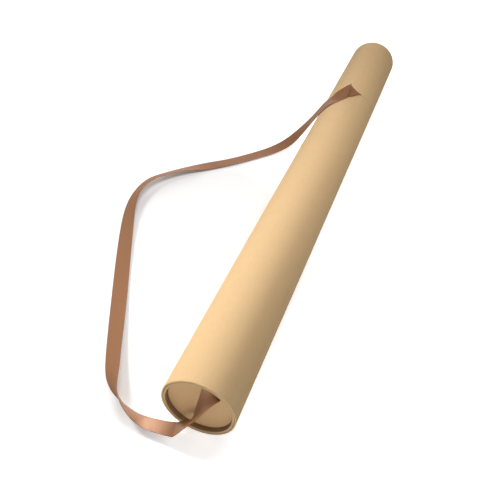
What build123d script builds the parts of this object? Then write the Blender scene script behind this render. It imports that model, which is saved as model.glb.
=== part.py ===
from build123d import *
import math
import os

# Poster tube lying on a floor, with a loose ribbon strap beside it.
# Frame: millimetres, +Y from the bottom end to the lid along the tube, +Z up, floor at Z = 0, origin under the middle.

# Tube
TUBE_DIAMETER = 60.0
TUBE_LENGTH = 640.0
LID_LENGTH = 160.0
NECK_LENGTH = 70.0
SEAM_GAP = 0.8

# Board walls
SLEEVE_WALL = 1.2
CORE_WALL = 2.0
SLEEVE_FIT = 0.3
LINER_STOP_GAP = 0.5
SLEEVE_EDGE_BREAK = 0.4
CORE_LIP_RADIUS = 0.8
CORE_EDGE_BREAK = 0.5

# End discs
DISC_THICKNESS = 2.0
DISC_FIT = 0.2
END_RECESS = 4.0

# Ribbon strap
STRAP_WIDTH = 15.0
STRAP_THICKNESS = 0.4
STRAP_CLEARANCE = 0.3
SLIT_SIDE_CLEARANCE = 0.7
SLIT_LENGTH = 4.0
DISC_PASSAGE_ANGLE = 28.0
SLIT_ANGLE = 14.0
ARC_STEP = 15.0

# Route of the strap's middle line: x, y, z, then the compass heading and rise of its width, in degrees.
# It starts behind the bottom disc, crosses the rim, loops over the floor and goes in at the seam.
STRAP_ROUTE = [
    (11.7, -302.0, 51.8, 0, -28),
    (11.7, -309.5, 52.0, 0, -28),
    (11.7, -318.0, 52.0, 0, -28),
    (9.8, -319.8, 49.0, -18, -5),
    (6.6, -321.6, 43.2, -44, 2),
    (3.2, -325.0, 34.4, -48, 24),
    (0.3, -327.2, 25.8, -52, 43),
    (-5.9, -328.5, 19.2, -60, 42),
    (-15.0, -330.4, 10.4, -94, 10),
    (-26.5, -329.8, 6.0, -94, 15),
    (-40.0, -329.4, 4.3, -97, 23),
    (-51.5, -327.9, 5.3, -103, 40),
    (-62.0, -323.6, 7.2, -108, 66),
    (-71.0, -317.0, 7.8, -96, 83),
    (-80.3, -308.3, 7.8, 13, 68),
    (-90.4, -292.2, 6.0, 35, 35),
    (-102.0, -270.0, 3.6, 28, 21),
    (-118.0, -235.5, 2.0, 25, 11),
    (-136.0, -197.0, 1.1, 25, 5),
    (-152.5, -161.5, 1.6, 24, 9),
    (-169.0, -124.5, 2.5, 23, 16),
    (-183.5, -90.0, 4.3, 14, 30),
    (-189.8, -62.0, 6.2, 0, 36),
    (-186.3, -33.8, 6.0, -19, 22),
    (-172.5, -13.5, 4.4, -34, 23),
    (-157.0, 3.2, 3.6, -46, 21),
    (-136.5, 19.8, 1.2, -51, -3),
    (-113.0, 40.0, 1.0, -46, 4),
    (-92.0, 62.0, 1.1, -43, 3),
    (-73.0, 81.2, 2.4, -47, -2),
    (-57.7, 96.0, 8.6, -43, -5),
    (-45.7, 105.1, 22.1, -52, 8),
    (-34.3, 112.6, 37.2, -57, 20),
    (-25.7, 119.5, 49.4, -55, 24),
    (-19.3, 126.0, 55.9, -46, 18),
    (-13.0, 132.3, 59.9, -46, 5),
    (-8.9, 137.3, 62.2, -53, -10),
    (-5.2, 142.3, 64.0, -68, -22),
    (-2.1, 147.0, 64.3, -75, -21),
    (0.5, 149.9, 64.1, -83, -18),
    (3.9, 154.3, 63.4, -55, -27),
    (7.1, 160.1, 61.8, -3, -34),
    (6.9, 160.45, 58.2, 0, -14),
    (6.0, 160.4, 54.15, 0, -14),
    (6.0, 156.0, 54.15, 0, -14),
    (6.0, 151.2, 54.0, 0, -14),
]

# Places worked out from the sizes
TUBE_RADIUS = TUBE_DIAMETER / 2
AXIS_HEIGHT = TUBE_RADIUS
TUBE_AXIS = Axis((0, 0, AXIS_HEIGHT), (0, 1, 0))
BOTTOM_END = -TUBE_LENGTH / 2
LID_END = TUBE_LENGTH / 2
SEAM = LID_END - LID_LENGTH
NECK_END = SEAM + NECK_LENGTH
SLEEVE_INNER = TUBE_RADIUS - SLEEVE_WALL
CORE_OUTER = SLEEVE_INNER - SLEEVE_FIT
CORE_INNER = CORE_OUTER - CORE_WALL
DISC_RADIUS = CORE_INNER - DISC_FIT


def across_tube(y):
    """Plane across the tube at y, facing the lid."""
    return Plane(origin=(0, y, AXIS_HEIGHT), x_dir=(1, 0, 0), z_dir=(0, 1, 0))


def ring(outer, inner, start, end):
    """Round tube between two places along the axis."""
    return extrude(across_tube(start) * (Circle(outer) - Circle(inner)), amount=end - start)


def end_edge(shape, end, side):
    """Round edge of a ring: end 0 or -1 along the axis, side 0 inside or -1 outside."""
    edges = shape.edges().filter_by(GeomType.CIRCLE).group_by(Axis.Y)[end]
    return edges.sort_by(SortBy.RADIUS)[side]


def sleeve(start, end):
    """Outer kraft sleeve with the sharp edge of its cut ends broken."""
    shape = ring(TUBE_RADIUS, SLEEVE_INNER, start, end)
    return chamfer([end_edge(shape, 0, -1), end_edge(shape, -1, -1)], min(SLEEVE_EDGE_BREAK, 0.4 * SLEEVE_WALL))


def disc(start):
    """Flat board disc set inside the core or the liner."""
    return extrude(across_tube(start) * Circle(DISC_RADIUS), amount=DISC_THICKNESS)


def strap_width_direction(heading, rise):
    """Unit vector across the strap, from its heading and rise in degrees."""
    level = math.cos(math.radians(rise))
    turn = math.radians(heading)
    return Vector(level * math.cos(turn), level * math.sin(turn), math.sin(math.radians(rise)))


# Body: sleeve, and the core that stands out of it as the lid's neck
body_sleeve = sleeve(BOTTOM_END, SEAM)

core_tube = ring(CORE_OUTER, CORE_INNER, BOTTOM_END, NECK_END)
core_tube = fillet(end_edge(core_tube, 0, 0), min(CORE_LIP_RADIUS, 0.45 * CORE_WALL))
core_edge_break = min(CORE_EDGE_BREAK, 0.4 * CORE_WALL)
core_tube = chamfer([end_edge(core_tube, 0, -1), end_edge(core_tube, -1, -1)], core_edge_break)
slit_middle = SEAM + SEAM_GAP + STRAP_CLEARANCE - SLIT_LENGTH / 2
slit = Pos(0, slit_middle, AXIS_HEIGHT + CORE_OUTER)
slit *= Box(STRAP_WIDTH + 2 * SLIT_SIDE_CLEARANCE, SLIT_LENGTH, CORE_OUTER)
core_tube -= slit.rotate(TUBE_AXIS, SLIT_ANGLE)

# Bottom disc: a flat on its edge leaves the strap a way through, under the core's wall
bottom_disc = disc(BOTTOM_END + END_RECESS)
strap_edge_radius = CORE_INNER - STRAP_CLEARANCE
strap_seat = math.sqrt(strap_edge_radius**2 - (STRAP_WIDTH / 2) ** 2)
flat_distance = strap_seat - STRAP_THICKNESS - STRAP_CLEARANCE
waste = Pos(0, BOTTOM_END + END_RECESS + DISC_THICKNESS / 2, AXIS_HEIGHT + flat_distance + DISC_RADIUS / 2)
waste *= Box(2 * DISC_RADIUS, 2 * DISC_THICKNESS, DISC_RADIUS)
bottom_disc -= waste.rotate(TUBE_AXIS, DISC_PASSAGE_ANGLE)

# Lid: sleeve, the liner that stops against the neck, and its disc
lid_sleeve = sleeve(SEAM + SEAM_GAP, LID_END)

lid_liner = ring(CORE_OUTER, CORE_INNER, NECK_END + LINER_STOP_GAP, LID_END)
lid_liner = fillet(end_edge(lid_liner, -1, 0), min(CORE_LIP_RADIUS, 0.45 * CORE_WALL))
lid_liner = chamfer(end_edge(lid_liner, -1, -1), core_edge_break)

lid_disc = disc(LID_END - END_RECESS - DISC_THICKNESS)

# Strap: straight runs joined by arcs as large as the runs allow, with the ribbon's section turned as it twists
route = [Vector(x, y, z) for x, y, z, heading, rise in STRAP_ROUTE]
widths = [strap_width_direction(heading, rise) for x, y, z, heading, rise in STRAP_ROUTE]
runs = [end - start for start, end in zip(route, route[1:])]
run_widths = [(first + second).normalized() for first, second in zip(widths, widths[1:])]
turns = [math.radians(first.get_angle(second)) for first, second in zip(runs, runs[1:])]
setbacks = [0.45 * min(first.length, second.length) for first, second in zip(runs, runs[1:])]
radii = [setback / math.tan(turn / 2) for setback, turn in zip(setbacks, turns)]
path = FilletPolyline(*route, radius=radii)

# Stations along the path: distance from its start and the ribbon's width there
stations = [(0.0, run_widths[0])]
distance = runs[0].length - setbacks[0]
for corner, turn in enumerate(turns):
    steps = math.ceil(math.degrees(turn) / ARC_STEP)
    arc = radii[corner] * turn
    for step in range(steps + 1):
        share = step / steps
        width = run_widths[corner] * (1 - share) + run_widths[corner + 1] * share
        stations.append((distance + arc * share, width))
    next_setback = setbacks[corner + 1] if corner + 1 < len(setbacks) else 0.0
    distance += arc + runs[corner + 1].length - setbacks[corner] - next_setback
stations.append((distance, run_widths[-1]))

sections = []
for place, width in stations:
    share = min(place / path.length, 1.0)
    across = width.normalized()
    tangent = path.tangent_at(share)
    facing = tangent - across * across.dot(tangent)
    plane = Plane(origin=path.position_at(share), x_dir=across, z_dir=facing)
    sections.append(plane * Rectangle(STRAP_WIDTH / facing.length, STRAP_THICKNESS))
strap = loft(sections, ruled=True)

print("strap radii", [round(radius, 1) for radius in radii])
print("strap length", round(path.length, 1), "stations to", round(distance, 1))
print("strap volume share", round(strap.volume / (path.length * STRAP_WIDTH * STRAP_THICKNESS), 4))

# Nodes
os.makedirs("parts", exist_ok=True)
export_step(body_sleeve, "parts/body_sleeve.step")
export_step(core_tube, "parts/core_tube.step")
export_step(bottom_disc, "parts/bottom_disc.step")
export_step(lid_sleeve, "parts/lid_sleeve.step")
export_step(lid_liner, "parts/lid_liner.step")
export_step(lid_disc, "parts/lid_disc.step")
export_step(strap, "parts/strap.step")
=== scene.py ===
import math

import bmesh
import bpy
from bpy.props import FloatProperty, FloatVectorProperty, IntProperty, PointerProperty
from mathutils import Matrix, Vector


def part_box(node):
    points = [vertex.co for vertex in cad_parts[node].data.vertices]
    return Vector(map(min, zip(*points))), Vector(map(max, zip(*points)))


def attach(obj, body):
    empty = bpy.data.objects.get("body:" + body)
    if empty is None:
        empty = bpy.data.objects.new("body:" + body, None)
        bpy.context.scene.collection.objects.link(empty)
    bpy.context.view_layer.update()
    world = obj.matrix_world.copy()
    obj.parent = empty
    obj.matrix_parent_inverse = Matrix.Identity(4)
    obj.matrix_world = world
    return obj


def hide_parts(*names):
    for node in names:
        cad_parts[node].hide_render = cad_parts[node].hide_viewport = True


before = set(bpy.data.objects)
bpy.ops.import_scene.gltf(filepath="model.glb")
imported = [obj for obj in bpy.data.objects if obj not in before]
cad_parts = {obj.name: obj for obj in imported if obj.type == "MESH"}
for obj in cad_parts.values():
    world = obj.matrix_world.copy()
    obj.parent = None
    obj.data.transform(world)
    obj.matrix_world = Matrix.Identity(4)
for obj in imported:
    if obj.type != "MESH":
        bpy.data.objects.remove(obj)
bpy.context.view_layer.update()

bl_info = {
    "name": "Poster tube",
    "version": (1, 0, 0),
    "blender": (4, 5, 0),
    "location": "3D View > Sidebar > Poster tube",
    "description": "Dresses a kraft poster tube and its ribbon strap over the packed frame",
    "category": "Object",
}

# Places read from the frame, in metres
BODY_LOW, BODY_HIGH = (Vector(corner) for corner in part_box("body_sleeve"))
LID_LOW, LID_HIGH = (Vector(corner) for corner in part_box("lid_sleeve"))
CORE_LOW, CORE_HIGH = (Vector(corner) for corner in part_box("core_tube"))
LINER_LOW, LINER_HIGH = (Vector(corner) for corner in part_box("lid_liner"))
BOTTOM_DISC_LOW, BOTTOM_DISC_HIGH = (Vector(corner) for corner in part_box("bottom_disc"))
LID_DISC_LOW, LID_DISC_HIGH = (Vector(corner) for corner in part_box("lid_disc"))
TUBE_RADIUS = (BODY_HIGH.x - BODY_LOW.x) / 2
CORE_RADIUS = (CORE_HIGH.x - CORE_LOW.x) / 2
DISC_RADIUS = (LID_DISC_HIGH.x - LID_DISC_LOW.x) / 2
AXIS = Vector((0.0, 0.0, (BODY_LOW.z + BODY_HIGH.z) / 2))
ALONG = Vector((0.0, 1.0, 0.0))

# Rounding of the core's and the liner's cut edges, in metres
CORE_OUTER_EDGE = 0.0005
CORE_INNER_EDGE = 0.0003

# How far the wear reaches in from the cut ends, in metres
SLEEVE_WEAR = 0.0016
CORE_WEAR = 0.0012

# Rows of vertices in from each end of a ring, in metres
RING_ROWS = (0.0, 0.0015, 0.004, 0.010)

# Distances below which places count as the same, in metres
SAME_PLACE = 1e-7
SAME_END = 1e-6
SAME_RADIUS = 2e-5

# Lap of the kraft wrap: its start, its edge and the end of its shadow line, turned from the top towards +X
LAP_START, LAP_EDGE, LAP_LINE_END = (math.radians(turn) for turn in (-128.0, -127.4, -126.6))

# Spiral joints of the wound board: their pitch in metres, and half their width as a share of it
JOINT_PITCH = 0.105
JOINT_HALF_WIDTH = 0.0045

# Plies of the wound board: their pitch, and the depths between which the painted shade of the bore begins, in
# metres
PLY_PITCH = 0.0005
BORE_SHADE_BELOW, BORE_SHADE_ABOVE = 0.0018, 0.0014

# Width of the painted shade round the discs' edge, in metres
RIM_SHADE_WIDTH = 0.0012

# Ranges of noise that the papers' shades, and the roughness of papers and ribbon, follow
SHADE_RANGE = (0.35, 0.65)
ROUGH_RANGE = (0.3, 0.7)

# Weave of the ribbon: ties and picks in a length of one width, and the slant of the ties
TIES = 42
PICKS = 30
TIE_SLANT = 0.62

# Selvedge of the ribbon: how far from the middle it begins and is full, in widths
SELVEDGE_START, SELVEDGE_FULL = 0.455, 0.47

# The ribbon's back has its own stretch of the weave map, shifted across by this much
BACK_SHIFT = 2.0

# Most that a slanted ruling may be lengthened to keep the ribbon's width
LONGEST_RULING = 1.5

# Route of the strap's middle line in metres, then the heading and rise of its width in degrees
STRAP_ROUTE = [
    (0.0117, -0.3020, 0.0518, 0, -28),
    (0.0117, -0.3095, 0.0520, 0, -28),
    (0.0117, -0.3180, 0.0520, 0, -28),
    (0.0092, -0.3194, 0.0494, -26, -2),
    (0.0060, -0.3215, 0.0434, -46, 6),
    (0.0028, -0.3251, 0.0348, -49, 36),
    (-0.0003, -0.3276, 0.0258, -56, 53),
    (-0.0066, -0.3285, 0.0196, -67, 38),
    (-0.0150, -0.3303, 0.0102, -74, 16),
    (-0.0158, -0.3304, 0.0096, -76, 14),
    (-0.0265, -0.3298, 0.0060, -94, 15),
    (-0.0400, -0.3294, 0.0043, -97, 23),
    (-0.0515, -0.3279, 0.0054, -97, 41),
    (-0.0624, -0.3233, 0.0076, -112, 62),
    (-0.0708, -0.3173, 0.0076, -94, 84),
    (-0.0803, -0.3085, 0.0078, 17, 60),
    (-0.0904, -0.2929, 0.0055, 38, 29),
    (-0.1020, -0.2700, 0.0036, 30, 23),
    (-0.1180, -0.2355, 0.0020, 25, 11),
    (-0.1360, -0.1970, 0.0011, 25, 5),
    (-0.1525, -0.1615, 0.0016, 24, 9),
    (-0.1690, -0.1245, 0.0025, 23, 16),
    (-0.1835, -0.0900, 0.0043, 14, 30),
    (-0.1898, -0.0620, 0.0062, 0, 36),
    (-0.1863, -0.0338, 0.0060, -19, 22),
    (-0.1725, -0.0135, 0.0044, -34, 23),
    (-0.1570, 0.0032, 0.0036, -46, 21),
    (-0.1365, 0.0198, 0.0012, -51, -3),
    (-0.1130, 0.0400, 0.0010, -46, 4),
    (-0.0920, 0.0620, 0.0011, -43, 3),
    (-0.0730, 0.0812, 0.0024, -47, -2),
    (-0.0577, 0.0960, 0.0086, -43, -5),
    (-0.0457, 0.1051, 0.0221, -52, 8),
    (-0.0343, 0.1126, 0.0372, -57, 20),
    (-0.0257, 0.1195, 0.0494, -55, 24),
    (-0.0193, 0.1260, 0.0559, -46, 18),
    (-0.0120, 0.1322, 0.0588, -43, 4),
    (-0.0090, 0.1365, 0.0617, -56, -10),
    (-0.0044, 0.1405, 0.0640, -75, -29),
    (0.0002, 0.1431, 0.0667, -82, -37),
    (0.0022, 0.1436, 0.0672, -97, -53),
    (0.0018, 0.1458, 0.0667, -100, -54),
    (0.0030, 0.1519, 0.0641, -52, -25),
    (0.0077, 0.1601, 0.0624, -2, -41),
    (0.0069, 0.16045, 0.0582, 0, -14),
    (0.0060, 0.1604, 0.05415, 0, -14),
    (0.0060, 0.1560, 0.05415, 0, -14),
    (0.0060, 0.1512, 0.0540, 0, -14),
]

# Lamps: name, place, aim, size, spread in degrees and power
LAMPS = (
    ("window_lamp", (-1.20, 0.10, 1.10), (-0.02, -0.44, 0.0), 0.50, 36.0, 1.05),
    ("back_lamp", (-0.75, 1.65, 0.62), (-0.03, -0.45, 0.0), 0.90, 30.0, 1.2),
    ("ceiling_lamp", (-0.08, -0.06, 0.62), (0.0, -0.12, 0.03), 0.36, 180.0, 1.8),
    ("far_lamp", (0.24, 0.10, 0.60), (0.0, 0.06, 0.03), 0.36, 180.0, 1.20),
    ("front_fill", (0.10, -1.20, 0.10), (0.0, -0.32, 0.03), 0.30, 180.0, 2.7),
)

# Light of the sky on the pieces, as a share of the white it is seen as
SKY_LIGHT = 0.12

# Floor: its half size, an oval round the ribbon's loop, and the glow outside it as from, to, low and high
FLOOR_HALF_SIZE = 4.0
LOOP_STRETCH, LOOP_SHIFT = (2.0, 1.0, 1.0), (0.2, 0.15, 0.0)
NEAR_GLOW = (0.16, 0.28, 0.03, 0.75)
FAR_GLOW = (0.35, 0.90, 0.0, 0.22)

# Camera: place in metres, tilt down and turn in degrees, lens and sensor in millimetres, and its nearest view
CAMERA_PLACE = (0.12440, -0.56298, 0.41928)
CAMERA_TILT, CAMERA_TURN = 39.99, 20.61
FOCAL_LENGTH, SENSOR_WIDTH = 46.79, 36.0
NEAREST_SEEN = 0.01

WHITE = (1.0, 1.0, 1.0, 1.0)


class PosterTubeSizes(bpy.types.PropertyGroup):
    """Sizes of the dressed pieces that the frame's boxes don't give"""

    sleeve_wall: FloatProperty(
        name="Sleeve wall", description="Thickness of the outer kraft sleeves",
        default=0.0012, min=0.0004, max=0.003, unit="LENGTH", precision=5)
    core_wall: FloatProperty(
        name="Core wall", description="Thickness of the core tube and the lid's liner",
        default=0.002, min=0.0008, max=0.005, unit="LENGTH", precision=5)
    sleeve_edge: FloatProperty(
        name="Sleeve edge", description="Rounding of the sleeves' cut ends",
        default=0.0004, min=0.00005, max=0.0006, unit="LENGTH", precision=5)
    core_lip: FloatProperty(
        name="Core lip", description="Rounding of the core's inner lip at the rim",
        default=0.0008, min=0.0001, max=0.0012, unit="LENGTH", precision=5)
    disc_edge: FloatProperty(
        name="Disc edge", description="Rounding of the pressed edge of the end discs",
        default=0.0004, min=0.00005, max=0.001, unit="LENGTH", precision=5)
    disc_flat_angle: FloatProperty(
        name="Disc flat angle", description="Turn of the bottom disc's flat from the top towards +X",
        default=math.radians(28.0), subtype="ANGLE")
    disc_flat_distance: FloatProperty(
        name="Disc flat distance", description="Distance of the bottom disc's flat from the tube's axis",
        default=0.0244, min=0.015, max=0.026, unit="LENGTH", precision=5)
    slit_angle: FloatProperty(
        name="Slit angle", description="Turn of the ribbon's slit in the core from the top towards +X",
        default=math.radians(14.0), subtype="ANGLE")
    slit_start: FloatProperty(
        name="Slit start", description="Place along the tube where the ribbon's slit begins",
        default=0.1571, unit="LENGTH", precision=5)
    slit_end: FloatProperty(
        name="Slit end", description="Place along the tube where the ribbon's slit ends",
        default=0.1611, unit="LENGTH", precision=5)
    slit_width: FloatProperty(
        name="Slit width", description="Width of the ribbon's slit round the core",
        default=0.0164, min=0.01, max=0.03, unit="LENGTH", precision=5)
    ribbon_width: FloatProperty(
        name="Ribbon width", description="Width of the satin ribbon",
        default=0.015, min=0.005, max=0.03, unit="LENGTH", precision=5)
    ribbon_thickness: FloatProperty(
        name="Ribbon thickness", description="Thickness of the satin ribbon",
        default=0.0004, min=0.0001, max=0.001, unit="LENGTH", precision=5)
    round_steps: IntProperty(
        name="Round steps", description="Steps round the tube", default=160, min=48, max=360)
    ribbon_strips: IntProperty(
        name="Ribbon strips", description="Strips of faces across the ribbon", default=10, min=4, max=24)


class PosterTubeColours(bpy.types.PropertyGroup):
    """Colours of the board, the ribbon and the floor"""

    kraft: FloatVectorProperty(
        name="Kraft", description="Colour of the outer kraft paper",
        default=(0.645, 0.440, 0.232), min=0.0, max=1.0, size=3, subtype="COLOR")
    board: FloatVectorProperty(
        name="Board", description="Colour of the raw wound board",
        default=(0.60, 0.41, 0.225), min=0.0, max=1.0, size=3, subtype="COLOR")
    disc: FloatVectorProperty(
        name="Disc", description="Colour of the flat board discs",
        default=(0.62, 0.40, 0.20), min=0.0, max=1.0, size=3, subtype="COLOR")
    ribbon: FloatVectorProperty(
        name="Ribbon", description="Colour of the satin ribbon's shiny face",
        default=(0.245, 0.112, 0.052), min=0.0, max=1.0, size=3, subtype="COLOR")
    ribbon_back: FloatVectorProperty(
        name="Ribbon back", description="Colour of the satin ribbon's matt back",
        default=(0.225, 0.107, 0.053), min=0.0, max=1.0, size=3, subtype="COLOR")
    floor: FloatVectorProperty(
        name="Floor", description="Colour of the studio floor",
        default=(0.86, 0.86, 0.86), min=0.0, max=1.0, size=3, subtype="COLOR")


def shaded(colour, amount):
    """A colour made lighter or darker by a share."""
    return tuple(min(1.0, channel * amount) for channel in colour) + (1.0,)


class Finish:
    """A material with its shader, and short ways to add and wire nodes."""

    def __init__(self, name):
        self.material = bpy.data.materials.new(name)
        self.material.use_nodes = True
        self.tree = self.material.node_tree
        self.tree.nodes.clear()
        self.shader = self.node("ShaderNodeBsdfPrincipled")
        self.wire(self.shader.outputs["BSDF"], self.node("ShaderNodeOutputMaterial").inputs["Surface"])

    def node(self, kind, **settings):
        """New node with its settings."""
        made = self.tree.nodes.new(kind)
        for setting, value in settings.items():
            setattr(made, setting, value)
        return made

    def wire(self, source, target):
        """Link from an output to an input."""
        self.tree.links.new(source, target)

    def set(self, name, value):
        """Constant on one of the shader's sockets."""
        self.shader.inputs[name].default_value = value

    def feed(self, name, source):
        """Link from an output to one of the shader's sockets."""
        self.wire(source, self.shader.inputs[name])

    def parts(self, vector):
        """The three parts of a vector."""
        made = self.node("ShaderNodeSeparateXYZ")
        self.wire(vector, made.inputs["Vector"])
        return made.outputs["X"], made.outputs["Y"], made.outputs["Z"]

    def math(self, operation, first, second=None):
        """Sum, product or other result of one or two values or outputs."""
        made = self.node("ShaderNodeMath", operation=operation)
        for socket, value in zip(made.inputs, (first, second)):
            if isinstance(value, (int, float)):
                socket.default_value = value
            elif value is not None:
                self.wire(value, socket)
        return made.outputs["Value"]

    def between(self, value, low, high, to_low=0.0, to_high=1.0):
        """Smooth step from one range of a value to another."""
        made = self.node("ShaderNodeMapRange", interpolation_type="SMOOTHSTEP")
        self.wire(value, made.inputs["Value"])
        limits = {"From Min": low, "From Max": high, "To Min": to_low, "To Max": to_high}
        for socket, limit in limits.items():
            made.inputs[socket].default_value = limit
        return made.outputs["Result"]

    def wave(self, value, count):
        """Smooth wave from 0 to 1, so many times in one step of a value."""
        angle = self.math("MULTIPLY", value, 2 * math.pi * count)
        return self.between(self.math("SINE", angle), -1.0, 1.0)

    def noise(self, vector, scale, detail=3.0, roughness=0.55):
        """Cloudy noise from 0 to 1."""
        made = self.node("ShaderNodeTexNoise")
        made.inputs["Scale"].default_value = scale
        made.inputs["Detail"].default_value = detail
        made.inputs["Roughness"].default_value = roughness
        self.wire(vector, made.inputs["Vector"])
        return made.outputs["Fac"]

    def stretched(self, vector, scale, place=(0.0, 0.0, 0.0)):
        """Coordinates stretched along their axes, and moved."""
        made = self.node("ShaderNodeMapping")
        made.inputs["Scale"].default_value = scale
        made.inputs["Location"].default_value = place
        self.wire(vector, made.inputs["Vector"])
        return made.outputs["Vector"]

    def blend(self, share, first, second):
        """Mix of two colours."""
        made = self.node("ShaderNodeMix", data_type="RGBA", blend_type="MIX")
        for socket, value in zip((made.inputs[0], made.inputs[6], made.inputs[7]), (share, first, second)):
            if isinstance(value, tuple):
                socket.default_value = value
            else:
                self.wire(value, socket)
        return made.outputs[2]

    def tint(self, base, share, strength, colour):
        """Base colour with another one over it, at a strength times a share."""
        return self.blend(self.math("MULTIPLY", share, strength), base, colour)

    def bump(self, height, strength, distance):
        """Fine relief on the shader's surface."""
        made = self.node("ShaderNodeBump")
        made.inputs["Strength"].default_value = strength
        made.inputs["Distance"].default_value = distance
        self.wire(height, made.inputs["Height"])
        self.feed("Normal", made.outputs["Normal"])


def paper_grain(finish, coordinates, stretch):
    """Cloudy formation, fibres and flecks of unbleached paper, each from 0 to 1."""
    cloud = finish.noise(coordinates, scale=70.0)
    fibre = finish.noise(finish.stretched(coordinates, stretch), scale=1.0, detail=4.0, roughness=0.6)
    shifted = finish.stretched(coordinates, stretch, place=(3.1, 1.7, 0.4))
    fleck = finish.between(finish.noise(shifted, scale=1.6, detail=2.0), 0.66, 0.74)
    return cloud, fibre, fleck


def paper_colour(finish, colour, cloud, fibre, fleck, thin, thick, fibres, flecks, fleck_share):
    """Colour of unbleached paper: its grain in shades of thin and thick clouds, fibres and flecks."""
    base = finish.blend(cloud, shaded(colour, thin), shaded(colour, thick))
    base = finish.blend(finish.between(fibre, *SHADE_RANGE, to_high=0.5), base, shaded(colour, fibres))
    return finish.tint(base, fleck, fleck_share, shaded(colour, flecks))


def paper_surface(finish, base, fibre, smooth, rough, shine):
    """Wires a paper's colour, and a roughness that follows its fibres."""
    finish.feed("Base Color", base)
    finish.feed("Roughness", finish.between(fibre, *ROUGH_RANGE, smooth, rough))
    finish.set("Specular IOR Level", shine)


def from_tube_axis(finish, coordinates):
    """Place across the tube, along it and above its axis."""
    across, along, up = finish.parts(coordinates)
    return across, along, finish.math("SUBTRACT", up, AXIS.z)


def shader_radius(finish, across, height):
    """Distance from the tube's axis."""
    squares = [finish.math("MULTIPLY", part, part) for part in (across, height)]
    return finish.math("SQRT", finish.math("ADD", *squares))


def kraft_paper(colour):
    """Smooth kraft paper wrapped round the sleeves, with a lap seam and its painted shadow line, and paler
    worn ends.
    """
    finish = Finish("kraft_outer")
    coordinates = finish.node("ShaderNodeTexCoord").outputs["Object"]
    cloud, fibre, fleck = paper_grain(finish, coordinates, (900.0, 130.0, 900.0))
    base = paper_colour(
        finish, colour, cloud, fibre, fleck,
        thin=0.96, thick=1.04, fibres=1.05, flecks=0.62, fleck_share=0.22)

    # Lap seam along the wrap, on the side near the floor, with a painted shadow line at its edge
    across, _, height = from_tube_axis(finish, coordinates)
    turn = finish.math("ARCTAN2", across, height)
    lap = finish.between(turn, LAP_START, LAP_EDGE)
    lap_shadow_line = finish.math("MULTIPLY", lap, finish.between(turn, LAP_EDGE, LAP_LINE_END, 1.0, 0.0))
    base = finish.tint(base, lap_shadow_line, strength=0.45, colour=shaded(colour, 0.6))

    # Worn cut ends
    wear = finish.node("ShaderNodeAttribute", attribute_name="end_wear").outputs["Fac"]
    patches = finish.between(finish.noise(coordinates, scale=420.0, detail=4.0), 0.3, 0.7)
    rub = finish.math("MULTIPLY", wear, patches)
    base = finish.tint(base, rub, strength=0.45, colour=shaded(colour, 1.22))

    paper_surface(finish, base, fibre, smooth=0.66, rough=0.8, shine=0.03)
    relief = finish.math("ADD", fibre, finish.math("MULTIPLY", cloud, 0.6))
    relief = finish.math("ADD", relief, finish.math("MULTIPLY", lap, 0.8))
    finish.bump(relief, strength=0.16, distance=0.00012)
    return finish.material


def wound_board(colour):
    """Raw wound board with spiral joints, painted shade over its bore, and the plies showing on its cut ends.
    """
    finish = Finish("kraft_inner")
    source = finish.node("ShaderNodeTexCoord")
    coordinates = source.outputs["Object"]
    cloud, fibre, fleck = paper_grain(finish, coordinates, (700.0, 260.0, 700.0))
    base = paper_colour(
        finish, colour, cloud, fibre, fleck,
        thin=0.93, thick=1.05, fibres=1.07, flecks=0.58, fleck_share=0.3)

    # Spiral joints between the wound strips
    across, along, height = from_tube_axis(finish, coordinates)
    turns = finish.math("DIVIDE", finish.math("ARCTAN2", across, height), 2 * math.pi)
    pitches = finish.math("FRACT", finish.math("ADD", turns, finish.math("DIVIDE", along, JOINT_PITCH)))
    joint = finish.math("ABSOLUTE", finish.math("SUBTRACT", pitches, 0.5))
    joint = finish.between(joint, 0.0, JOINT_HALF_WIDTH, 1.0, 0.0)
    base = finish.tint(base, joint, strength=0.5, colour=shaded(colour, 0.62))

    # Painted shade: the bore is darkened as if shaded inside the tube
    radius = shader_radius(finish, across, height)
    painted_bore_shade = finish.between(radius, CORE_RADIUS - BORE_SHADE_BELOW, CORE_RADIUS - BORE_SHADE_ABOVE, 1.0, 0.0)
    base = finish.tint(base, painted_bore_shade, strength=0.85, colour=shaded(colour, 0.42))

    # Plies on the cut ends
    _, endwise, _ = finish.parts(source.outputs["Normal"])
    cut = finish.between(finish.math("ABSOLUTE", endwise), 0.6, 0.9)
    layers = finish.math("MULTIPLY", radius, 2 * math.pi / PLY_PITCH)
    waver = finish.math("MULTIPLY", cloud, 3.0)
    ply = finish.between(finish.math("SINE", finish.math("ADD", layers, waver)), -0.9, 0.9)
    base = finish.tint(base, finish.math("MULTIPLY", cut, ply), strength=0.35, colour=shaded(colour, 0.72))
    wear = finish.node("ShaderNodeAttribute", attribute_name="end_wear").outputs["Fac"]
    base = finish.tint(base, wear, strength=0.1, colour=shaded(colour, 1.1))

    paper_surface(finish, base, fibre, smooth=0.66, rough=0.82, shine=0.3)
    relief = finish.math("SUBTRACT", finish.math("ADD", fibre, cloud), finish.math("MULTIPLY", joint, 1.2))
    finish.bump(relief, strength=0.3, distance=0.00016)
    return finish.material


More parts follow.
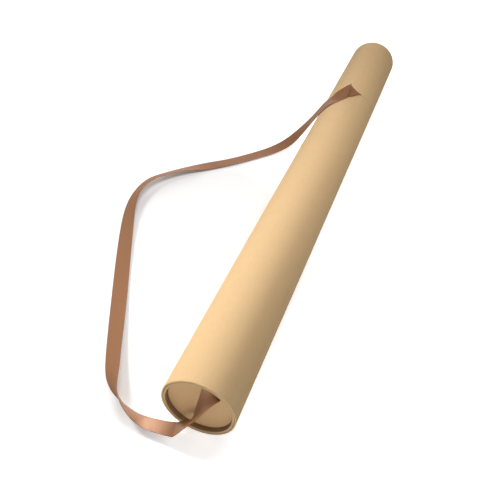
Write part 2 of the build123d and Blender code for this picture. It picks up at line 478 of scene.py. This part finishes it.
def flat_board(colour):
    """Flat board of the end discs, with fibres in all directions and painted shade towards its edge."""
    finish = Finish("kraft_disc")
    coordinates = finish.node("ShaderNodeTexCoord").outputs["Object"]
    cloud, fibre, fleck = paper_grain(finish, coordinates, (420.0, 420.0, 900.0))
    base = paper_colour(
        finish, colour, cloud, fibre, fleck,
        thin=0.93, thick=1.06, fibres=1.06, flecks=0.6, fleck_share=0.3)
    across, _, height = from_tube_axis(finish, coordinates)
    # Painted shade: the board darkens towards the disc's edge, where it meets the wall
    rim = finish.between(shader_radius(finish, across, height), DISC_RADIUS - RIM_SHADE_WIDTH, DISC_RADIUS)
    base = finish.tint(base, rim, strength=0.4, colour=shaded(colour, 0.7))
    paper_surface(finish, base, fibre, smooth=0.62, rough=0.78, shine=0.3)
    finish.bump(finish.math("ADD", fibre, cloud), strength=0.25, distance=0.00014)
    return finish.material


def satin(face_colour, back_colour, width, length):
    """Single-faced satin: long shiny floats on the face, a matt twill back, and a selvedge on both edges."""
    finish = Finish("satin_ribbon")
    source = finish.node("ShaderNodeUVMap", uv_map="weave").outputs["UV"]
    run, place, _ = finish.parts(source)
    widths = length / width
    along = finish.math("MULTIPLY", run, widths)
    across = finish.math("FRACT", place)
    back = finish.math("GREATER_THAN", place, BACK_SHIFT - 0.5)
    edge = finish.math("ABSOLUTE", finish.math("SUBTRACT", across, 0.5))
    selvedge = finish.between(edge, SELVEDGE_START, SELVEDGE_FULL)

    # Long warp floats, slow changes of shade, and the fine diagonal where the weft ties the floats
    warp = finish.noise(finish.stretched(source, (widths * 2.2, 130.0, 1.0)), scale=1.0, roughness=0.65)
    slub = finish.noise(finish.stretched(source, (widths * 9.0, 0.8, 1.0)), scale=1.0, detail=2.0)
    slant = finish.math("ADD", along, finish.math("MULTIPLY", across, TIE_SLANT))
    tie = finish.wave(slant, TIES)
    picks = finish.wave(along, PICKS)

    sides = []
    for colour, tie_share in ((face_colour, 0.16), (back_colour, 0.34)):
        base = finish.blend(warp, shaded(colour, 0.88), shaded(colour, 1.12))
        base = finish.blend(finish.between(slub, 0.35, 0.7, to_high=0.35), base, shaded(colour, 1.1))
        base = finish.tint(base, tie, tie_share, shaded(colour, 0.76))
        band = finish.blend(picks, shaded(colour, 0.8), shaded(colour, 1.02))
        sides.append(finish.blend(selvedge, base, band))
    finish.feed("Base Color", finish.blend(back, *sides))

    # The floats shine along the ribbon, the back hardly does
    floats = finish.between(warp, *ROUGH_RANGE, to_low=0.38, to_high=0.48)
    finish.feed("Roughness", finish.math("ADD", floats, finish.math("MULTIPLY", back, 0.36)))
    finish.set("Specular IOR Level", 0.9)
    finish.set("Specular Tint", (1.0, 0.5, 0.25, 1.0))
    finish.set("Anisotropic", 0.4)
    tangent = finish.node("ShaderNodeTangent", direction_type="UV_MAP", uv_map="weave")
    finish.feed("Tangent", tangent.outputs["Tangent"])
    relief = finish.math("ADD", warp, finish.math("MULTIPLY", tie, 0.35))
    ridges = finish.math("MULTIPLY", picks, 0.6)
    relief = finish.math("ADD", relief, finish.math("MULTIPLY", selvedge, ridges))
    finish.bump(relief, strength=0.25, distance=0.00006)
    return finish.material


def seen_directly(tree):
    """1 for camera, mirror-like and clear rays, 0 for those that only carry light."""
    rays = tree.nodes.new("ShaderNodeLightPath")
    seen = rays.outputs["Is Camera Ray"]
    for kind in ("Is Glossy Ray", "Is Transmission Ray"):
        either = tree.nodes.new("ShaderNodeMath")
        either.operation = "MAXIMUM"
        tree.links.new(seen, either.inputs[0])
        tree.links.new(rays.outputs[kind], either.inputs[1])
        seen = either.outputs["Value"]
    return seen


def finished_piece(name, bm, material, body, slot, *nodes, crease=35.0):
    """Turns a bmesh into a piece that rides on a body and stands for CAD nodes."""
    mesh = bpy.data.meshes.new(name)
    bm.to_mesh(mesh)
    bm.free()
    mesh.shade_smooth()
    mesh.set_sharp_from_angle(angle=math.radians(crease))
    mesh.materials.append(material)
    piece = bpy.data.objects.new(name, mesh)
    bpy.context.scene.collection.objects.link(piece)
    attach(piece, body)
    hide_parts(*nodes)
    return piece


def everything(bm):
    """All vertices, edges and faces of a bmesh."""
    return bm.verts[:] + bm.edges[:] + bm.faces[:]


def of_kind(parts, kind):
    """Those parts of an operator's result that are vertices, edges or faces."""
    return [part for part in parts if isinstance(part, kind)]


def spun_ring(outer, inner, start, end, steps):
    """Bmesh of a board ring: its section spun round the tube's axis."""
    bm = bmesh.new()
    along = [start + row for row in RING_ROWS] + [end - row for row in reversed(RING_ROWS)]
    outside = [bm.verts.new((outer, y, AXIS.z)) for y in along]
    inside = [bm.verts.new((inner, y, AXIS.z)) for y in reversed(along)]
    section = outside + inside
    for first, second in zip(section, section[1:] + section[:1]):
        bm.edges.new((first, second))
    bmesh.ops.spin(
        bm, geom=bm.verts[:] + bm.edges[:], cent=AXIS, axis=ALONG, dvec=(0.0, 0.0, 0.0),
        angle=2 * math.pi, steps=steps, use_merge=True, use_duplicate=False)
    bmesh.ops.remove_doubles(bm, verts=bm.verts[:], dist=SAME_PLACE)
    bmesh.ops.recalc_face_normals(bm, faces=bm.faces[:])
    return bm


def round_end(bm, y, radius, size, segments=3):
    """Rounds the circular edge of a ring or a disc at one end."""

    def on_edge(place):
        away = math.hypot(place.x, place.z - AXIS.z) - radius
        return abs(place.y - y) < SAME_END and abs(away) < SAME_RADIUS

    edges = [edge for edge in bm.edges if all(on_edge(vert.co) for vert in edge.verts)]
    bmesh.ops.bevel(
        bm, geom=edges, offset=size, offset_type="OFFSET", segments=segments, profile=0.5,
        affect="EDGES", material=-1, clamp_overlap=True)


def mark_wear(bm, start, end, reach):
    """Writes how near each vertex is to a cut end, for the worn edges."""
    layer = bm.verts.layers.float.new("end_wear")
    for vert in bm.verts:
        near = min(abs(vert.co.y - start), abs(vert.co.y - end))
        vert[layer] = max(0.0, 1.0 - near / reach)


def toward(angle):
    """Direction across the tube, turned from the top towards +X."""
    return Vector((math.sin(angle), 0.0, math.cos(angle)))


class POSTERTUBE_OT_sleeves(bpy.types.Operator):
    """Wraps the body and the lid in their outer kraft sleeves"""

    bl_idname = "poster_tube.sleeves"
    bl_label = "Kraft sleeves"

    def execute(self, context):
        sizes, colours = context.scene.poster_tube_sizes, context.scene.poster_tube_colours
        paper = kraft_paper(colours.kraft)
        inner = TUBE_RADIUS - sizes.sleeve_wall
        for name, body, node, low, high in (
                ("body_wrap", "body", "body_sleeve", BODY_LOW, BODY_HIGH),
                ("lid_wrap", "lid", "lid_sleeve", LID_LOW, LID_HIGH)):
            bm = spun_ring(TUBE_RADIUS, inner, low.y, high.y, sizes.round_steps)
            for y in (low.y, high.y):
                round_end(bm, y, TUBE_RADIUS, sizes.sleeve_edge)
                round_end(bm, y, inner, sizes.sleeve_edge / 3, segments=2)
            mark_wear(bm, low.y, high.y, SLEEVE_WEAR)
            finished_piece(name, bm, paper, body, "kraft_outer", node)
        return {"FINISHED"}


class POSTERTUBE_OT_core(bpy.types.Operator):
    """Builds the core tube with the ribbon's slit, and the liner inside the lid"""

    bl_idname = "poster_tube.core"
    bl_label = "Core and liner"

    def execute(self, context):
        sizes, colours = context.scene.poster_tube_sizes, context.scene.poster_tube_colours
        board = wound_board(colours.board)
        inner = CORE_RADIUS - sizes.core_wall

        bm = spun_ring(CORE_RADIUS, inner, CORE_LOW.y, CORE_HIGH.y, sizes.round_steps)
        self.cut_slit(bm, sizes)
        round_end(bm, CORE_LOW.y, inner, sizes.core_lip, segments=4)
        round_end(bm, CORE_LOW.y, CORE_RADIUS, CORE_OUTER_EDGE)
        round_end(bm, CORE_HIGH.y, CORE_RADIUS, CORE_OUTER_EDGE)
        round_end(bm, CORE_HIGH.y, inner, CORE_INNER_EDGE, segments=2)
        mark_wear(bm, CORE_LOW.y, CORE_HIGH.y, CORE_WEAR)
        finished_piece("core_and_neck", bm, board, "body", "kraft_inner", "core_tube")

        bm = spun_ring(CORE_RADIUS, inner, LINER_LOW.y, LINER_HIGH.y, sizes.round_steps)
        round_end(bm, LINER_HIGH.y, inner, sizes.core_lip, segments=4)
        round_end(bm, LINER_HIGH.y, CORE_RADIUS, CORE_OUTER_EDGE)
        round_end(bm, LINER_LOW.y, inner, CORE_INNER_EDGE, segments=2)
        mark_wear(bm, LINER_LOW.y, LINER_HIGH.y, CORE_WEAR)
        finished_piece("lid_ring", bm, board, "lid", "kraft_inner", "lid_liner")
        return {"FINISHED"}

    def cut_slit(self, bm, sizes):
        """Cuts the ribbon's slit through the core's wall."""
        out = toward(sizes.slit_angle)
        side = out.cross(ALONG)
        half = sizes.slit_width / 2
        cuts = (
            (ALONG * sizes.slit_start, ALONG), (ALONG * sizes.slit_end, ALONG),
            (AXIS + side * half, side), (AXIS - side * half, side))
        for place, normal in cuts:
            bmesh.ops.bisect_plane(bm, geom=everything(bm), dist=SAME_PLACE, plane_co=place, plane_no=normal)
        inside = []
        for face in bm.faces:
            middle = face.calc_center_median() - AXIS
            within = sizes.slit_start < middle.y < sizes.slit_end and abs(middle.dot(side)) < half
            if within and middle.dot(out) > 0:
                inside.append(face)
        bmesh.ops.delete(bm, geom=inside, context="FACES")
        bmesh.ops.bridge_loops(bm, edges=[edge for edge in bm.edges if edge.is_boundary])
        bmesh.ops.recalc_face_normals(bm, faces=bm.faces[:])


class POSTERTUBE_OT_discs(bpy.types.Operator):
    """Sets the flat board discs into both ends"""

    bl_idname = "poster_tube.discs"
    bl_label = "End discs"

    def execute(self, context):
        sizes, colours = context.scene.poster_tube_sizes, context.scene.poster_tube_colours
        board = flat_board(colours.disc)

        bm = self.pressed_disc(BOTTOM_DISC_LOW.y, BOTTOM_DISC_HIGH.y, sizes)
        out = toward(sizes.disc_flat_angle)
        cut = bmesh.ops.bisect_plane(
            bm, geom=everything(bm), dist=SAME_PLACE,
            plane_co=AXIS + out * sizes.disc_flat_distance, plane_no=out, clear_outer=True)
        bmesh.ops.edgeloop_fill(bm, edges=of_kind(cut["geom_cut"], bmesh.types.BMEdge))
        bmesh.ops.recalc_face_normals(bm, faces=bm.faces[:])
        finished_piece("bottom_board", bm, board, "body", "kraft_disc", "bottom_disc")

        bm = self.pressed_disc(LID_DISC_LOW.y, LID_DISC_HIGH.y, sizes)
        finished_piece("lid_board", bm, board, "lid", "kraft_disc", "lid_disc")
        return {"FINISHED"}

    def pressed_disc(self, start, end, sizes):
        """Bmesh of a board disc with a rounded edge."""
        bm = bmesh.new()
        across = Matrix.Translation(AXIS + ALONG * start) @ Matrix.Rotation(math.radians(-90.0), 4, "X")
        bmesh.ops.create_circle(
            bm, cap_ends=True, cap_tris=False, segments=sizes.round_steps, radius=DISC_RADIUS, matrix=across)
        raised = bmesh.ops.extrude_face_region(bm, geom=bm.faces[:])
        bmesh.ops.translate(
            bm, vec=ALONG * (end - start), verts=of_kind(raised["geom"], bmesh.types.BMVert))
        bmesh.ops.recalc_face_normals(bm, faces=bm.faces[:])
        for y in (start, end):
            round_end(bm, y, DISC_RADIUS, sizes.disc_edge)
        return bm


def strap_width(heading, rise):
    """Unit vector across the ribbon, from its heading and rise in degrees."""
    heading, rise = math.radians(heading), math.radians(rise)
    level = math.cos(rise)
    return Vector((level * math.cos(heading), level * math.sin(heading), math.sin(rise)))


def smooth_line(name, points):
    """Points read from a smooth line that has the given control points."""
    curve = bpy.data.curves.new(name, "CURVE")
    curve.dimensions = "3D"
    line = curve.splines.new("NURBS")
    line.points.add(len(points) - 1)
    for control, place in zip(line.points, points):
        control.co = (*place, 1.0)
    line.order_u = 3
    line.use_endpoint_u = True
    line.resolution_u = 10
    holder = bpy.data.objects.new(name, curve)
    bpy.context.scene.collection.objects.link(holder)
    read = bpy.data.meshes.new_from_object(holder)
    places = [vert.co.copy() for vert in read.vertices]
    bpy.data.meshes.remove(read)
    bpy.data.objects.remove(holder)
    bpy.data.curves.remove(curve)
    return places


class POSTERTUBE_OT_strap(bpy.types.Operator):
    """Lays the satin ribbon from the bottom end over the floor to the lid's seam"""

    bl_idname = "poster_tube.strap"
    bl_label = "Ribbon strap"

    def execute(self, context):
        sizes, colours = context.scene.poster_tube_sizes, context.scene.poster_tube_colours
        middle_line, rulings, facings = self.lay(sizes.ribbon_width / 2)
        length = sum((second - first).length for first, second in zip(middle_line, middle_line[1:]))
        bm = self.woven_strip(middle_line, rulings, facings, sizes)
        ribbon = satin(colours.ribbon, colours.ribbon_back, sizes.ribbon_width, length)
        piece = finished_piece("ribbon_strap", bm, ribbon, "body", "satin_ribbon", "strap", crease=70.0)
        return {"FINISHED"}

    def lay(self, half):
        """Places along the ribbon's middle, each with its half width and the way its face looks."""
        middles = [Vector(point[:3]) for point in STRAP_ROUTE]
        edges = [middle + strap_width(*point[3:]) * half for middle, point in zip(middles, STRAP_ROUTE)]
        middle_line = smooth_line("strap_middle", middles)
        edge_line = smooth_line("strap_edge", edges)
        if len(middle_line) != len(edge_line):
            raise RuntimeError("the ribbon's middle and edge lines differ in points")

        # The half width is the ruling between the lines, long enough to keep the ribbon's width
        rulings, facings = [], []
        for index, middle in enumerate(middle_line):
            across = (edge_line[index] - middle).normalized()
            ahead = middle_line[min(index + 1, len(middle_line) - 1)] - middle_line[max(index - 1, 0)]
            ahead.normalize()
            square = (ahead - across * across.dot(ahead)).length
            rulings.append(across * min(half / square, half * LONGEST_RULING))
            facings.append(ahead.cross(across).normalized())
        return middle_line, rulings, facings

    def woven_strip(self, middle_line, rulings, facings, sizes):
        """Bmesh of the ribbon with its thickness, and with the weave map of its face and back."""
        last = len(middle_line) - 1
        bm = bmesh.new()
        bmesh.ops.create_grid(bm, x_segments=last, y_segments=sizes.ribbon_strips, size=1.0)
        weave = bm.loops.layers.uv.new("weave")
        for face in bm.faces:
            for corner in face.loops:
                corner[weave].uv = ((corner.vert.co.x + 1) / 2, (corner.vert.co.y + 1) / 2)
        for vert in bm.verts:
            place = round((vert.co.x + 1) / 2 * last)
            lift = facings[place] * sizes.ribbon_thickness / 2
            vert.co = middle_line[place] + rulings[place] * vert.co.y + lift
        bm.normal_update()
        bmesh.ops.solidify(bm, geom=bm.faces[:], thickness=sizes.ribbon_thickness)
        bmesh.ops.recalc_face_normals(bm, faces=bm.faces[:])
        for face in bm.faces:
            place = round(face.loops[0][weave].uv.x * last)
            if face.normal.dot(facings[place]) < 0:
                for corner in face.loops:
                    corner[weave].uv.y += BACK_SHIFT
        return bm


class POSTERTUBE_OT_stage(bpy.types.Operator):
    """Sets the white floor, the soft lamps and the camera"""

    bl_idname = "poster_tube.stage"
    bl_label = "Studio stage"

    def execute(self, context):
        self.floor(context)
        self.light(context)
        self.camera(context)
        context.scene.view_settings.view_transform = "Standard"
        return {"FINISHED"}

    def floor(self, context):
        """White floor that keeps the object's shadow."""
        bm = bmesh.new()
        bmesh.ops.create_grid(bm, x_segments=1, y_segments=1, size=FLOOR_HALF_SIZE)
        mesh = bpy.data.meshes.new("studio_floor")
        bm.to_mesh(mesh)
        bm.free()
        finish = Finish("floor_white")
        colour = context.scene.poster_tube_colours.floor
        finish.set("Base Color", (*colour, 1.0))
        finish.set("Roughness", 0.9)
        finish.set("Specular IOR Level", 0.1)
        finish.set("Emission Color", WHITE)
        coordinates = finish.node("ShaderNodeTexCoord").outputs["Object"]
        reach = finish.node("ShaderNodeVectorMath", operation="LENGTH")
        finish.wire(finish.stretched(coordinates, LOOP_STRETCH, place=LOOP_SHIFT), reach.inputs[0])
        glows = [finish.between(reach.outputs["Value"], *glow) for glow in (NEAR_GLOW, FAR_GLOW)]
        glow = finish.math("MULTIPLY", seen_directly(finish.tree), finish.math("ADD", *glows))
        finish.feed("Emission Strength", glow)
        mesh.materials.append(finish.material)
        floor = bpy.data.objects.new("studio_floor", mesh)
        context.scene.collection.objects.link(floor)

    def light(self, context):
        """Lamp from the left, a low one behind, two soft ones overhead, one in front, and an even sky."""
        for name, place, aim, size, spread, power in LAMPS:
            lamp = bpy.data.lights.new(name, "AREA")
            lamp.shape = "DISK"
            lamp.size = size
            lamp.spread = math.radians(spread)
            lamp.energy = power
            holder = bpy.data.objects.new(name, lamp)
            holder.location = place
            holder.rotation_euler = (Vector(aim) - Vector(place)).to_track_quat("-Z", "Y").to_euler()
            context.scene.collection.objects.link(holder)

        # The sky looks white, and lights the pieces only a little
        world = bpy.data.worlds.new("studio_sky")
        world.use_nodes = True
        tree = world.node_tree
        sky = tree.nodes["Background"]
        sky.inputs["Color"].default_value = WHITE
        level = tree.nodes.new("ShaderNodeMapRange")
        level.inputs["To Min"].default_value = SKY_LIGHT
        tree.links.new(seen_directly(tree), level.inputs["Value"])
        tree.links.new(level.outputs["Result"], sky.inputs["Strength"])
        context.scene.world = world

    def camera(self, context):
        """Camera at the photograph's viewing angle, for a square picture."""
        lens = bpy.data.cameras.new("photo_camera")
        lens.sensor_fit = "HORIZONTAL"
        lens.sensor_width = SENSOR_WIDTH
        lens.lens = FOCAL_LENGTH
        lens.clip_start = NEAREST_SEEN
        holder = bpy.data.objects.new("photo_camera", lens)
        holder.location = CAMERA_PLACE
        holder.rotation_euler = (math.radians(90.0 - CAMERA_TILT), 0.0, math.radians(CAMERA_TURN))
        context.scene.collection.objects.link(holder)
        context.scene.camera = holder


class POSTERTUBE_PT_panel(bpy.types.Panel):
    """Lists the sizes, colours and pieces of the poster tube"""

    bl_idname = "POSTERTUBE_PT_panel"
    bl_label = "Poster tube"
    bl_space_type = "VIEW_3D"
    bl_region_type = "UI"
    bl_category = "Poster tube"

    def draw(self, context):
        layout = self.layout
        for group in (context.scene.poster_tube_sizes, context.scene.poster_tube_colours):
            column = layout.column(align=True)
            for name in group.__annotations__:
                column.prop(group, name)
        for operator in OPERATORS:
            layout.operator(operator.bl_idname)


OPERATORS = (
    POSTERTUBE_OT_strap, POSTERTUBE_OT_sleeves, POSTERTUBE_OT_core, POSTERTUBE_OT_discs, POSTERTUBE_OT_stage)
CLASSES = (PosterTubeSizes, PosterTubeColours, *OPERATORS, POSTERTUBE_PT_panel)


def register():
    for kind in CLASSES:
        bpy.utils.register_class(kind)
    bpy.types.Scene.poster_tube_sizes = PointerProperty(type=PosterTubeSizes)
    bpy.types.Scene.poster_tube_colours = PointerProperty(type=PosterTubeColours)


def unregister():
    del bpy.types.Scene.poster_tube_colours
    del bpy.types.Scene.poster_tube_sizes
    for kind in reversed(CLASSES):
        bpy.utils.unregister_class(kind)


def main():
    register()
    bpy.ops.poster_tube.strap()
    bpy.ops.poster_tube.sleeves()
    bpy.ops.poster_tube.core()
    bpy.ops.poster_tube.discs()
    bpy.ops.poster_tube.stage()


if __name__ == "__main__":
    main()
